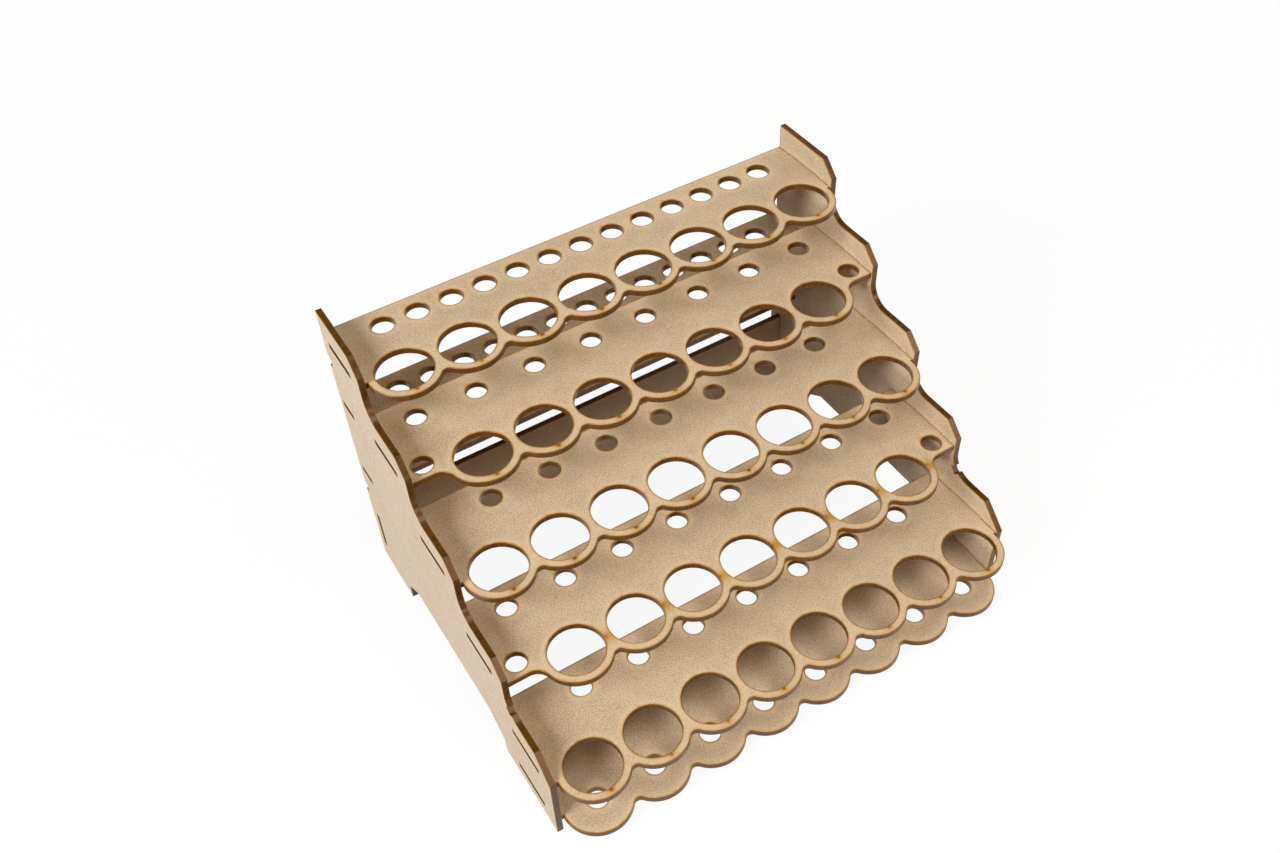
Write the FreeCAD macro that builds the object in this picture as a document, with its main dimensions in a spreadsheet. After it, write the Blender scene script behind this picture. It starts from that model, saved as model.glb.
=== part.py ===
import FreeCAD, Part
import os
import re
import Sketcher

# Stepped bottle and brush rack, cut from one thickness of sheet and slotted together.
# +X runs along the shelves, +Y to the back, +Z up. The origin is the middle of the footprint, at bench level.
# Two side panels carry a base shelf, five stepped ring shelves, two brush rails and a rear brace on tabs.

# Driving sizes, in millimetres, apart from the three that are counts.
SIZES = {
    "sheet": 3.0,               # thickness of every piece
    "long_row": 8,              # count: rings in rows 1, 3 and 5; the rows between hold one fewer
    "row_count": 5,             # count: ring shelves
    "brush_count": 13,          # count: holes in each row of brush holes
    "ring_pitch": 30.6,         # ring to ring along a shelf
    "ring_bore": 26.3,          # diameter of a bottle hole
    "ring_wall": 3.85,          # width of the rim in front of a bottle hole
    "valley_radius": 3.0,       # rounding between two neighbouring rings
    "end_gap": 1.35,            # end ring to side panel
    "end_radius": 7.0,          # rounding beside the end rings of a short row
    "front_setback": 0.9,       # shelf's straight front edge, behind the row's centre line
    "row_advance": 37.0,        # row to row, towards the back
    "row_rise": 30.0,           # row to row, upwards
    "base_top": 10.0,           # top of the base shelf above the bench
    "base_depth": 46.0,         # base shelf's rear edge, behind the first row's centre line
    "tuck_depth": 12.7,         # a shelf's rear edge, behind the centre line of the row above it
    "rear_margin": 43.5,        # rear edge of the rack, behind the last row's centre line
    "tip_bore": 10.0,           # diameter of the small hole under each bottle
    "corner_inset": 8.3,        # end hole of a short row, from the side panel
    "corner_setback": 8.8,      # end hole of a short row, behind the centre line
    "brush_bore": 11.0,         # diameter of a brush hole
    "brush_inset": 11.5,        # brush holes, from the rear edge
    "brush_margin": 22.0,       # first and last brush hole, from the side panels
    "rail_depth": 21.0,         # brush rails, front to back
    "upper_rail_drop": 40.5,    # top of the rail that guides the brushes, below the top shelf
    "lower_rail_top": 74.0,     # top of the rail that the brushes stand on
    "brace_bottom": 2.5,        # rear brace's lower edge above the bench
    "brace_top": 49.5,          # rear brace's upper edge
    "brace_inset": 6.0,         # rear brace's back, from the rear edge
    "tab_setback": 10.8,        # a shelf's tab, behind its row's centre line
    "tab_length": 24.0,         # tabs of the shelves and of the brace
    "rail_tab": 12.0,           # tabs of the brush rails
    "slot_play": 0.1,           # room on every side of a tab in its slot
    "lip": 12.7,                # side panel above each shelf
    "front_nose": 0.6,          # upright edge above the first shelf, before its slope
    "nose": 4.5,                # upright edge above the other shelves, before their slopes
    "cove_radius": 11.0,        # hollow corner where one step meets the next
    "key_width": 4.2,           # square notch in the lowest hollow corner
    "key_depth": 2.6,
    "front_foot": 49.5,         # length of the front foot
    "rear_foot": 36.0,          # length of the rear foot
    "arch_height": 18.0,        # side panel's underside between the feet
    "foot_step": 9.0,           # upright end of each foot
    "foot_run": 14.0,           # length of the slope from each foot to the arch
    "hook_depth": 3.0,          # two hanging notches in the rear edge of each side panel
    "hook_height": 4.5,
    "hook_slope": 3.0,
    "upper_hook_drop": 20.0,    # seat of the upper hanging notch, below the top shelf
    "lower_hook": 52.5,         # seat of the lower one above the bench
}

# Sizes that follow from the driving ones.
FORMULAS = {
    "rim": "(ring_bore / 2 + ring_wall)",
    "half_inside": "((long_row - 1) * ring_pitch / 2 + rim + end_gap)",
    "half_outside": "(half_inside + sheet)",
    "rear": "((row_count - 1) * row_advance + rear_margin)",
    "middle": "((rear - rim) / 2)",
    "valley_reach": "(rim + valley_radius)",
    "valley_drop": "sqrt(valley_reach ^ 2 - (ring_pitch / 2) ^ 2)",
    "end_reach": "(rim + end_radius)",
    "end_spread": "sqrt(end_reach ^ 2 - (end_radius - front_setback) ^ 2)",
    "key_spread": "sqrt(cove_radius ^ 2 - (key_width / 2) ^ 2)",
    "top_shelf": "(base_top + row_count * row_rise)",
    "upper_rail_top": "(top_shelf - upper_rail_drop)",
    "upper_hook": "(top_shelf - upper_hook_drop)",
    "brush_step": "((half_inside * 2 - brush_margin * 2) / (brush_count - 1))",
    "brace_middle": "((brace_bottom + brace_top) / 2)",
    "diagonal": "sqrt(0.5)",
}

doc = FreeCAD.newDocument("StepRack")
sheet = doc.addObject("Spreadsheet::Sheet", "Sizes")
for line, (name, size) in enumerate(SIZES.items(), 1):
    sheet.set(f"A{line}", name)
    sheet.set(f"B{line}", str(size))
    sheet.setAlias(f"B{line}", name)
doc.recompute()


def formula(text):
    """Write a formula out until it names only cells of the sheet."""
    def look_up(match):
        word = match.group()
        if word in FORMULAS:
            return formula(FORMULAS[word])
        return f"Sizes.{word}" if word in SIZES else word
    return re.sub(r"[a-z_]+", look_up, str(text))


def number(text):
    """Value of a formula at the present sizes."""
    return float(sheet.evalExpression(formula(text)))


def bind(thing, **formulas):
    """Let formulas drive the named sizes of an object."""
    for size, text in formulas.items():
        thing.setExpression(size, formula(text))


def new_sketch(body, role, name):
    """Sketch on one of the body's own origin planes."""
    sketch = body.newObject("Sketcher::SketchObject", name)
    plane = next(part for part in body.Origin.OriginFeatures if part.Role == role)
    sketch.AttachmentSupport = (plane, "")
    sketch.MapMode = "FlatFace"
    return sketch


def place_point(sketch, edge, end, across, up):
    """Hold one end of an edge at two formulas measured from the sketch's origin."""
    for kind, text in (("DistanceX", across), ("DistanceY", up)):
        rule = sketch.addConstraint(Sketcher.Constraint(kind, -1, 1, edge, end, number(text)))
        sketch.setExpression(f"Constraints[{rule}]", formula(text))


def draw_outline(sketch, corners):
    """Closed outline of straight edges and arcs.

    A corner is (across, up), or (across, up, radius) where the edge that leaves it is an arc.
    The arc turns left, counter-clockwise, where the radius is plain, and right where it starts with a minus.
    """
    first = sketch.GeometryCount
    count = len(corners)
    ends = []
    for index, corner in enumerate(corners):
        start = FreeCAD.Vector(number(corner[0]), number(corner[1]), 0)
        after = corners[(index + 1) % count]
        stop = FreeCAD.Vector(number(after[0]), number(after[1]), 0)
        if len(corner) == 2:
            sketch.addGeometry(Part.LineSegment(start, stop))
            ends.append((1, 2))
            continue
        radius = number(corner[2])
        chord = stop - start
        rise = (radius * radius - chord.Length ** 2 / 4) ** 0.5
        side = FreeCAD.Vector(-chord.y, chord.x, 0).normalize() * (rise if radius > 0 else -rise)
        centre = start + chord / 2 + side
        circle = Part.Circle(centre, FreeCAD.Vector(0, 0, 1), abs(radius))
        low, high = (start, stop) if radius > 0 else (stop, start)
        sketch.addGeometry(Part.ArcOfCircle(circle, circle.parameter(low), circle.parameter(high)))
        ends.append((1, 2) if radius > 0 else (2, 1))
    for index, corner in enumerate(corners):
        edge, following = first + index, (index + 1) % count
        joint = (edge, ends[index][1], first + following, ends[following][0])
        sketch.addConstraint(Sketcher.Constraint("Coincident", *joint))
        place_point(sketch, edge, ends[index][0], corner[0], corner[1])
        if len(corner) == 3:
            size = corner[2].lstrip("-")
            rule = sketch.addConstraint(Sketcher.Constraint("Radius", edge, number(size)))
            sketch.setExpression(f"Constraints[{rule}]", formula(size))


def draw_rectangle(sketch, left, right, low, high):
    """Rectangle between four formulas."""
    draw_outline(sketch, [(left, low), (right, low), (right, high), (left, high)])


def new_sheet_piece(name, role, draw):
    """Body cut from one sheet: draw fills its outline sketch."""
    body = doc.addObject("PartDesign::Body", name)
    sketch = new_sketch(body, role, name + "_outline")
    draw(sketch)
    pad = body.newObject("PartDesign::Pad", name + "_sheet")
    pad.Profile = sketch
    bind(pad, Length="sheet")
    sketch.Visibility = False
    doc.recompute()
    return body


def cut_hole_row(body, name, bore, first, up, step, count):
    """Row of round through holes along +X: one drilled hole and its linear pattern."""
    sketch = new_sketch(body, "XY_Plane", name + "_centre")
    centre = FreeCAD.Vector(number(first), number(up), 0)
    circle = sketch.addGeometry(Part.Circle(centre, FreeCAD.Vector(0, 0, 1), number(bore) / 2))
    place_point(sketch, circle, 3, first, up)
    rule = sketch.addConstraint(Sketcher.Constraint("Diameter", circle, number(bore)))
    sketch.setExpression(f"Constraints[{rule}]", formula(bore))
    before = body.Shape.Volume
    hole = body.newObject("PartDesign::Pocket", name)
    hole.Profile = sketch
    hole.Type = "ThroughAll"
    hole.Reversed = True
    doc.recompute()
    pattern = body.newObject("PartDesign::LinearPattern", name + "_row")
    pattern.Originals = [hole]
    pattern.Direction = (sketch, ["H_Axis"])
    bind(pattern, Length=f"({step}) * (({count}) - 1)", Occurrences=count)
    body.Tip = pattern
    doc.recompute()
    removed = before - body.Shape.Volume
    wanted = number(f"({count}) * pi * ({bore}) ^ 2 / 4 * sheet")
    if abs(removed - wanted) > 0.01 * wanted:
        raise ValueError(f"{name} took {removed:.1f} mm3 away in place of {wanted:.1f}")


def side_tabs(low, high):
    """Right and left halves of an outline that has one tab on each side, from low to high."""
    right = [("half_inside", low), ("half_outside", low), ("half_outside", high), ("half_inside", high)]
    left = [(f"-{across}", up) for across, up in reversed(right)]
    return right, left


def scalloped_outline(rings, depth):
    """Shelf outline: straight back and sides with tabs, and a front edge that follows its rings."""
    half_row = f"(({rings} - 1) * ring_pitch / 2)"
    right, left = side_tabs("tab_setback", "(tab_setback + tab_length)")
    short = rings < number("long_row")
    turn = "rim * ring_pitch / 2 / valley_reach"
    dip = "rim * valley_drop / valley_reach"
    front = []
    if short:
        reach = f"({half_row} + end_spread)"
        lean = "rim * end_spread / end_reach"
        fall = "(front_setback - end_radius) * rim / end_reach"
        front += [(f"-{reach}", "front_setback", "-end_radius"), (f"-{half_row} - {lean}", fall, "rim")]
    else:
        edge = "sqrt(rim ^ 2 - front_setback ^ 2)"
        front += [(f"-{half_row} - {edge}", "front_setback", "rim")]
    for ring in range(rings - 1):
        centre = f"({ring} * ring_pitch - {half_row})"
        front += [(f"{centre} + {turn}", f"-{dip}", "-valley_radius")]
        front += [(f"{centre} + ring_pitch - {turn}", f"-{dip}", "rim")]
    if short:
        front += [(f"{half_row} + {lean}", fall, "-end_radius"), (reach, "front_setback")]
    else:
        front += [(f"{half_row} + {edge}", "front_setback")]
    corners = [("-half_inside", "front_setback")] + front + [("half_inside", "front_setback")]
    return corners + right + [("half_inside", depth), ("-half_inside", depth)] + left


def rings_in(row):
    """Rings in a row; row 0 is the base shelf, which is shaped like row 1."""
    return int(number("long_row")) - (1 if row and row % 2 == 0 else 0)


def make_shelf(name, row):
    """Ring shelf, or for row 0 the base shelf under the first row."""
    last = int(number("row_count"))
    line = max(row - 1, 0)
    rings = rings_in(row)
    depth = "row_advance + tuck_depth"
    if row == 0:
        depth = "base_depth"
    elif row == last:
        depth = "rear_margin"
    corners = scalloped_outline(rings, depth)
    shelf = new_sheet_piece(name, "XY_Plane", lambda sketch: draw_outline(sketch, corners))
    if row > 0:
        first = f"-(({rings} - 1) * ring_pitch / 2)"
        cut_hole_row(shelf, name + "_bottle_holes", "ring_bore", first, "0", "ring_pitch", str(rings))
    if row < last:
        above = rings_in(row + 1)
        first = f"-(({above} - 1) * ring_pitch / 2)"
        away = "row_advance" if row else "0"
        cut_hole_row(shelf, name + "_tip_holes", "tip_bore", first, away, "ring_pitch", str(above))
    else:
        first = "brush_margin - half_inside"
        back = "rear_margin - brush_inset"
        cut_hole_row(shelf, name + "_brush_holes", "brush_bore", first, back, "brush_step", "brush_count")
    if rings < number("long_row"):
        first = "corner_inset - half_inside"
        cut_hole_row(shelf, name + "_end_holes", "tip_bore", first, "corner_setback", f"-2 * ({first})", "2")
    bind(shelf, **{
        "Placement.Base.y": f"{line} * row_advance - middle",
        "Placement.Base.z": f"base_top + {row} * row_rise - sheet",
    })
    return shelf


def make_brush_rail(name, top, bored):
    """Narrow rail across the back; a bored one guides the brushes and a plain one carries their ends."""
    right, left = side_tabs("(rail_depth - rail_tab) / 2", "(rail_depth + rail_tab) / 2")
    corners = [("-half_inside", "0"), ("half_inside", "0")] + right
    corners += [("half_inside", "rail_depth"), ("-half_inside", "rail_depth")] + left
    rail = new_sheet_piece(name, "XY_Plane", lambda sketch: draw_outline(sketch, corners))
    if bored:
        first = "brush_margin - half_inside"
        up = "rail_depth - brush_inset"
        cut_hole_row(rail, name + "_brush_holes", "brush_bore", first, up, "brush_step", "brush_count")
    bind(rail, **{"Placement.Base.y": "rear - rail_depth - middle", "Placement.Base.z": f"{top} - sheet"})
    return rail


def make_brace():
    """Upright board between the rear feet."""
    right, left = side_tabs("(brace_middle - tab_length / 2)", "(brace_middle + tab_length / 2)")
    corners = [("-half_inside", "brace_bottom"), ("half_inside", "brace_bottom")] + right
    corners += [("half_inside", "brace_top"), ("-half_inside", "brace_top")] + left
    brace = new_sheet_piece("rear_brace", "XZ_Plane", lambda sketch: draw_outline(sketch, corners))
    bind(brace, **{"Placement.Base.y": "rear - brace_inset - middle"})
    return brace


def keyed_cove(back, low):
    """Hollow corner that ends at (back, low + cove_radius), with the square notch cut across its middle."""
    centre = (f"({back} - cove_radius)", f"({low} + cove_radius)")
    points = []
    for reach, aside in (("key_spread", -1), ("(cove_radius + key_depth)", -1),
                         ("(cove_radius + key_depth)", 1), ("key_spread", 1)):
        across = f"{centre[0]} + diagonal * ({reach} + {aside} * key_width / 2)"
        up = f"{centre[1]} - diagonal * ({reach} - {aside} * key_width / 2)"
        points.append((across, up))
    points[-1] += ("cove_radius",)
    return [(centre[0], low, "cove_radius")] + points


def panel_outline():
    """Side panel seen from +X, front to the left: feet, arch, stepped front edge and hanging notches."""
    corners = [("0", "0")]
    corners += [("front_foot", "0"), ("front_foot", "foot_step"), ("front_foot + foot_run", "arch_height")]
    corners += [("rear - rear_foot - foot_run", "arch_height"), ("rear - rear_foot", "foot_step")]
    corners += [("rear - rear_foot", "0"), ("rear", "0")]
    for seat in ("lower_hook", "upper_hook"):
        corners += [("rear", seat), ("rear - hook_depth", seat), ("rear - hook_depth", f"{seat} + hook_height")]
        corners += [("rear", f"{seat} + hook_height + hook_slope")]
    steps = []
    for row in range(1, int(number("row_count")) + 1):
        line = f"({row - 1} * row_advance)"
        top = f"(base_top + {row} * row_rise)"
        nose = "front_nose" if row == 1 else "nose"
        if row == 2:
            steps += keyed_cove(line, f"({top} - row_rise + lip)")
        elif row > 2:
            steps += [(f"{line} - cove_radius", f"{top} - row_rise + lip", "cove_radius")]
        if row > 1:
            steps += [(line, f"{top} - row_rise + lip + cove_radius")]
        steps += [(line, f"{top} + {nose}"), (f"{line} + lip - {nose}", f"{top} + lip")]
    steps += [("rear", f"{top} + lip")]
    return corners, steps


def reverse_edges(corners):
    """The same run of corners walked the other way, with each arc turned round."""
    walked = []
    for index in range(len(corners) - 1, -1, -1):
        arc = corners[index - 1][2:] if index else ()
        walked.append(corners[index][:2] + tuple(f"-{radius}" for radius in arc))
    return walked


def draw_panel(sketch):
    """Outline of a side panel and the slots for everything that it carries."""
    under, steps = panel_outline()
    draw_outline(sketch, under + reverse_edges(steps))
    for row in range(int(number("row_count")) + 1):
        near = f"{max(row - 1, 0)} * row_advance + tab_setback"
        top = f"base_top + {row} * row_rise"
        draw_rectangle(sketch, f"{near} - slot_play", f"{near} + tab_length + slot_play",
                       f"{top} - sheet - slot_play", f"{top} + slot_play")
    for top in ("upper_rail_top", "lower_rail_top"):
        near = "rear - (rail_depth + rail_tab) / 2"
        draw_rectangle(sketch, f"{near} - slot_play", f"{near} + rail_tab + slot_play",
                       f"{top} - sheet - slot_play", f"{top} + slot_play")
    back = "rear - brace_inset"
    draw_rectangle(sketch, f"{back} - sheet - slot_play", f"{back} + slot_play",
                   "brace_middle - tab_length / 2 - slot_play", "brace_middle + tab_length / 2 + slot_play")


def make_panel(name, face):
    """Side panel; face is the formula of the side nearer to -X."""
    panel = new_sheet_piece(name, "YZ_Plane", draw_panel)
    bind(panel, **{"Placement.Base.x": face, "Placement.Base.y": "-middle"})
    return panel


pieces = [make_panel("side_panel_left", "-half_outside"), make_panel("side_panel_right", "half_inside")]
pieces += [make_shelf("base_shelf", 0)]
pieces += [make_shelf(f"ring_shelf_{row}", row) for row in range(1, int(number("row_count")) + 1)]
pieces += [make_brush_rail("brush_rail_upper", "upper_rail_top", True)]
pieces += [make_brush_rail("brush_rail_lower", "lower_rail_top", False)]
pieces += [make_brace()]
doc.recompute()

for thing in doc.Objects:
    if {"Invalid", "Error"} & set(thing.State):
        raise ValueError(f"{thing.Label} is {thing.State}")
os.makedirs("parts", exist_ok=True)
for piece in pieces:
    shape = piece.Shape
    if shape.isNull() or not shape.isValid() or len(shape.Solids) != 1:
        raise ValueError(f"{piece.Label} is not one sound solid")
    shape.exportStep(f"parts/{piece.Label}.step")
    box = shape.BoundBox
    print(f"{piece.Label}: {shape.Volume / 1000:.2f} cm3, x {box.XMin:.2f} to {box.XMax:.2f}, "
          f"y {box.YMin:.2f} to {box.YMax:.2f}, z {box.ZMin:.2f} to {box.ZMax:.2f}")
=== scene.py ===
"""Stepped rack for small bottles and brushes, cut by a beam from one thickness of fibreboard.

Every sheet is drawn as flat loops in millimetres. Its cut walls and its rims are a profile carried along
each loop, and the inner part of each face is filled in between. The fibres of the board and the burn of
the beam are node groups that all the sheets share.
"""
import logging
import math
from dataclasses import dataclass, field
from enum import Enum

import bpy
import numpy as np
from mathutils import Euler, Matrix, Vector
from mathutils.geometry import delaunay_2d_cdt


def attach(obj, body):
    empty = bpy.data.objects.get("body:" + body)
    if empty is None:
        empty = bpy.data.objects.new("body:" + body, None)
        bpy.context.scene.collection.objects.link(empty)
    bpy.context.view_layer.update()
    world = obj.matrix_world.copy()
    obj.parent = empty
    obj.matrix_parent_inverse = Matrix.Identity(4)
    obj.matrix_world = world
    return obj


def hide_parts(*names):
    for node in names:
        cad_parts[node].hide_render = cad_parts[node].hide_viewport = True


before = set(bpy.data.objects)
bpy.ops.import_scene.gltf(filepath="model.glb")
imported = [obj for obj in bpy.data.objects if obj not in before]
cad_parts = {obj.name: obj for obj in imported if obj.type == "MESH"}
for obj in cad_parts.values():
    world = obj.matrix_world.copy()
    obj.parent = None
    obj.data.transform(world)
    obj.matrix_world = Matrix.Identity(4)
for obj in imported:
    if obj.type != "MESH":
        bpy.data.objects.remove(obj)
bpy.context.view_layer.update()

LOG = logging.getLogger("rack")
MM = 0.001
Array = np.ndarray
Node = bpy.types.Node
Socket = bpy.types.NodeSocket
Corner = tuple[float, ...]
Spot = tuple[float, float]
Colour = tuple[float, float, float]
Pair = tuple[float, float]
Triple = tuple[float, float, float]

RIM_INSETS = np.array([1.3, 0.95, 0.6, 0.3, 0.12])   # rows of points beside a cut, the last at its worn arris
WALL_SHARES = np.array([0.96, 0.66, 0.33, 0.04])     # rows down a cut wall, as shares of the thickness
RUN = 4.0             # longest straight run between points of a loop
ARC_RUN = 0.9         # the same on a fine arc
COVE_RUN = 2.0        # the same on an arc next to a sharp corner
ARC_RUNS = 3          # fewest runs in an arc
GRID = 3.5            # spacing of the points inside a face
GRID_CLEAR = 0.8      # least distance between those points and the innermost row of a rim
ON_FACE = 1e-4        # a height this near to a face belongs to it
TINY = 1e-6           # lengths that are less than this apart count as equal
DECIMALS = 5          # decimals to which two points are compared
FAR = 50.0            # stands for no corner nearby
SHARP_TURN = 20.0     # degrees by which a cut turns at a sharp corner
SMOOTH_TURN = 28.0    # degrees up to which two faces are shaded as one
DIAGONAL = math.sqrt(0.5)
SEED = 7              # start of the uneven stains
NODE_STEP = 190       # room for one node in the editor
UPPER, LOWER, WALL = range(3)   # material slots of a sheet


class Lie(Enum):
    """How a sheet lies: the directions of its drawn across and up, and of its thickness."""

    LEVEL = ((1, 0, 0), (0, 1, 0), (0, 0, 1))
    SIDE = ((0, 1, 0), (0, 0, 1), (1, 0, 0))
    UPRIGHT = ((1, 0, 0), (0, 0, 1), (0, -1, 0))


class Bore(Enum):
    """Kind of round hole: where the beam went in, in degrees from across, and the number of its points."""

    RING = (-90.0, 96)
    HOLE = (111.0, 44)

    @property
    def start(self) -> float:
        """Where the beam went in, in degrees from across."""
        return self.value[0]

    @property
    def points(self) -> int:
        """Points around the hole."""
        return self.value[1]


@dataclass(frozen=True)
class RackSizes:
    """Driving sizes of the rack, in millimetres apart from the three counts."""

    sheet: float = 3.0              # thickness of every board
    long_row: int = 8               # rings in the first row and every second one above it
    row_count: int = 5
    brush_count: int = 13
    ring_pitch: float = 30.6
    ring_bore: float = 26.3
    ring_wall: float = 3.85
    valley_radius: float = 3.0      # hollow between two rings
    end_gap: float = 1.35           # between the last ring of a long row and the panel
    end_radius: float = 7.0         # hollow beside the last ring of a short row
    front_setback: float = 0.9      # straight front edge, behind the row's centre line
    row_advance: float = 37.0       # from one row's centre line to the next
    row_rise: float = 30.0
    base_top: float = 10.0
    base_depth: float = 46.0
    tuck_depth: float = 12.7        # how far a shelf reaches behind the next row's centre line
    rear_margin: float = 43.5       # from the top row's centre line to the rear edge
    tip_bore: float = 10.0          # hole under a ring
    corner_inset: float = 8.3       # end hole of a short row, from the panel
    corner_setback: float = 8.8     # the same, behind the centre line
    brush_bore: float = 11.0
    brush_inset: float = 11.5       # brush hole, from the rear edge
    brush_margin: float = 22.0      # first brush hole, from the panel
    rail_depth: float = 21.0
    upper_rail_top: float = 119.5
    lower_rail_top: float = 74.0
    brace_bottom: float = 2.5
    brace_top: float = 49.5
    brace_inset: float = 6.0        # face of the brace, from the rear edge
    tab_setback: float = 10.8       # tab of a shelf, behind the centre line
    tab_length: float = 24.0
    rail_tab: float = 12.0
    slot_play: float = 0.1          # room around a tab
    lip: float = 12.7               # height of a step's edge above its shelf
    front_nose: float = 0.6         # blunt corner of the lowest step
    nose: float = 4.5               # blunt corners of the other steps
    cove_radius: float = 11.0       # hollow corner between two steps
    key_width: float = 4.2          # square notch in a hollow corner
    key_depth: float = 2.6
    front_foot: float = 49.5
    rear_foot: float = 36.0
    arch_height: float = 18.0
    foot_step: float = 9.0          # upright side of a foot
    foot_run: float = 14.0          # length of the slope from there to the arch
    hook_depth: float = 3.0         # notch in the rear edge
    hook_height: float = 4.5
    hook_slope: float = 3.0
    upper_hook: float = 140.0
    lower_hook: float = 52.5

    @property
    def rim(self) -> float:
        """Outer radius of a ring."""
        return self.ring_bore / 2 + self.ring_wall

    @property
    def half_inside(self) -> float:
        """Half the distance between the side panels."""
        return (self.long_row - 1) * self.ring_pitch / 2 + self.rim + self.end_gap

    @property
    def half_outside(self) -> float:
        """Half the rack's width."""
        return self.half_inside + self.sheet

    @property
    def rear(self) -> float:
        """Rear edge of the rack, behind the first row's centre line."""
        return (self.row_count - 1) * self.row_advance + self.rear_margin

    @property
    def middle(self) -> float:
        """Middle of the footprint, behind the first row's centre line."""
        return (self.rear - self.rim) / 2

    def rings(self, row: int) -> int:
        """Rings in a row; row 0 is the base shelf, which is shaped like row 1."""
        return self.long_row - (1 if row and row % 2 == 0 else 0)

    def line(self, row: int) -> float:
        """Centre line of a row, behind that of the first."""
        return max(row - 1, 0) * self.row_advance

    def top(self, row: int) -> float:
        """Top of a shelf above the bench."""
        return self.base_top + row * self.row_rise


@dataclass(frozen=True)
class Loop:
    """One closed cut in a sheet, with the board on the left of its travel.

    Attributes:
        points: Corners in millimetres, one row each.
    """

    points: Array

    def mitres(self) -> Array:
        """Inward mitre, (n0 + n1) / (1 + n0 . n1), with n the left normals of the runs beside a point.

        Returns:
            One row for each point.
        """
        runs = np.roll(self.points, -1, axis=0) - self.points
        normal = np.stack([-runs[:, 1], runs[:, 0]], axis=1) / np.linalg.norm(runs, axis=1)[:, None]
        before = np.roll(normal, 1, axis=0)
        return (before + normal) / (1 + (before * normal).sum(axis=1))[:, None]

    def path(self, heights: Array) -> Array:
        """Map of the cut wall: across is the sum of the runs so far, up is the row's height.

        The second half of the loop counts from below zero up to it, so that only the start is near zero.

        Args:
            heights: Height of each row of points that is carried along the loop.

        Returns:
            Four pairs in millimetres for each quad, in the quads' order.
        """
        runs = np.linalg.norm(np.roll(self.points, -1, axis=0) - self.points, axis=1)
        end = np.cumsum(runs)
        start = end - runs
        half = np.where(start > end[-1] / 2, end[-1], 0.0)
        start, end = start - half, end - half
        u = np.broadcast_to(np.stack([start, start, end, end], axis=1), (len(heights) - 1, len(runs), 4))
        v = np.stack([heights[:-1], heights[1:], heights[1:], heights[:-1]], axis=1)
        v = np.broadcast_to(v[:, None, :], u.shape)
        return np.stack([u, v], axis=-1).reshape(-1, 4, 2)

    def from_corners(self, rows: int) -> Array:
        """Way from the last sharp corner and way to the next one, both along the loop.

        Args:
            rows: Rows of points carried along the loop.

        Returns:
            Four pairs in millimetres for each quad, in the quads' order; FAR without a sharp corner.
        """
        run = np.roll(self.points, -1, axis=0) - self.points
        length = np.linalg.norm(run, axis=1)
        ahead = run / length[:, None]
        bend = (ahead * np.roll(ahead, 1, axis=0)).sum(axis=1)
        sharp = np.flatnonzero(bend < math.cos(math.radians(SHARP_TURN)))
        if not len(sharp):
            return np.full(((rows - 1) * len(run), 4, 2), FAR)
        end = np.cumsum(length)
        start = end - length
        stops = np.concatenate([start[sharp[-1:]] - end[-1], start[sharp], start[sharp[:1]] + end[-1]])
        last = stops[np.searchsorted(stops, start + TINY) - 1]
        following = stops[np.searchsorted(stops, end - TINY)]
        behind, before = start - last, following - end
        near = np.stack([behind, before + length], axis=1)
        far = np.stack([behind + length, before], axis=1)
        pairs = np.stack([near, near, far, far], axis=1)
        return np.broadcast_to(pairs, (rows - 1, *pairs.shape)).reshape(-1, 4, 2)


@dataclass(frozen=True)
class Mark:
    """Stain left on a face where the beam went in or dwelt.

    Attributes:
        start: One end of the stain, in millimetres.
        end: Its other end; a round stain starts and ends at one place.
        reach: Distance at which it has faded to a third.
        smoke: Strength of its amber part.
        char: Strength of its dark part.
    """

    start: Spot
    end: Spot
    reach: float
    smoke: float
    char: float

    def fade(self, points: Array) -> Array:
        """Share of the stain that is left, exp(-(d / reach)^2), with d the distance from the stain's line.

        Args:
            points: Places on the sheet.

        Returns:
            One share for each point.
        """
        run = np.array(self.end) - np.array(self.start)
        away = points - np.array(self.start)
        share = np.clip(away @ run / max(run @ run, TINY), 0, 1)
        gap = away - share[:, None] * run
        return np.exp(-(gap * gap).sum(axis=1) / self.reach ** 2)


@dataclass(frozen=True)
class Blot:
    """What one kind of stain is like, wherever it lies.

    Attributes:
        away: Distance of its middle from a hole's edge, in millimetres.
        reach: Distance at which it has faded to a third.
        smoke: Strength of its amber part.
        char: Strength of its dark part.
    """

    away: float
    reach: float
    smoke: float
    char: float

    def at(self, across: float, up: float, strength: float) -> Mark:
        """The stain at a place, at a share of its strength."""
        return Mark((across, up), (across, up), self.reach, self.smoke * strength, self.char * strength)

    def beside(self, across: float, up: float, radius: float, angle: float, strength: float) -> Mark:
        """The stain at centre + (radius + away) (cos angle, sin angle) of a hole, the angle in degrees."""
        far, turn = radius + self.away, math.radians(angle)
        return self.at(across + far * math.cos(turn), up + far * math.sin(turn), strength)


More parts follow.
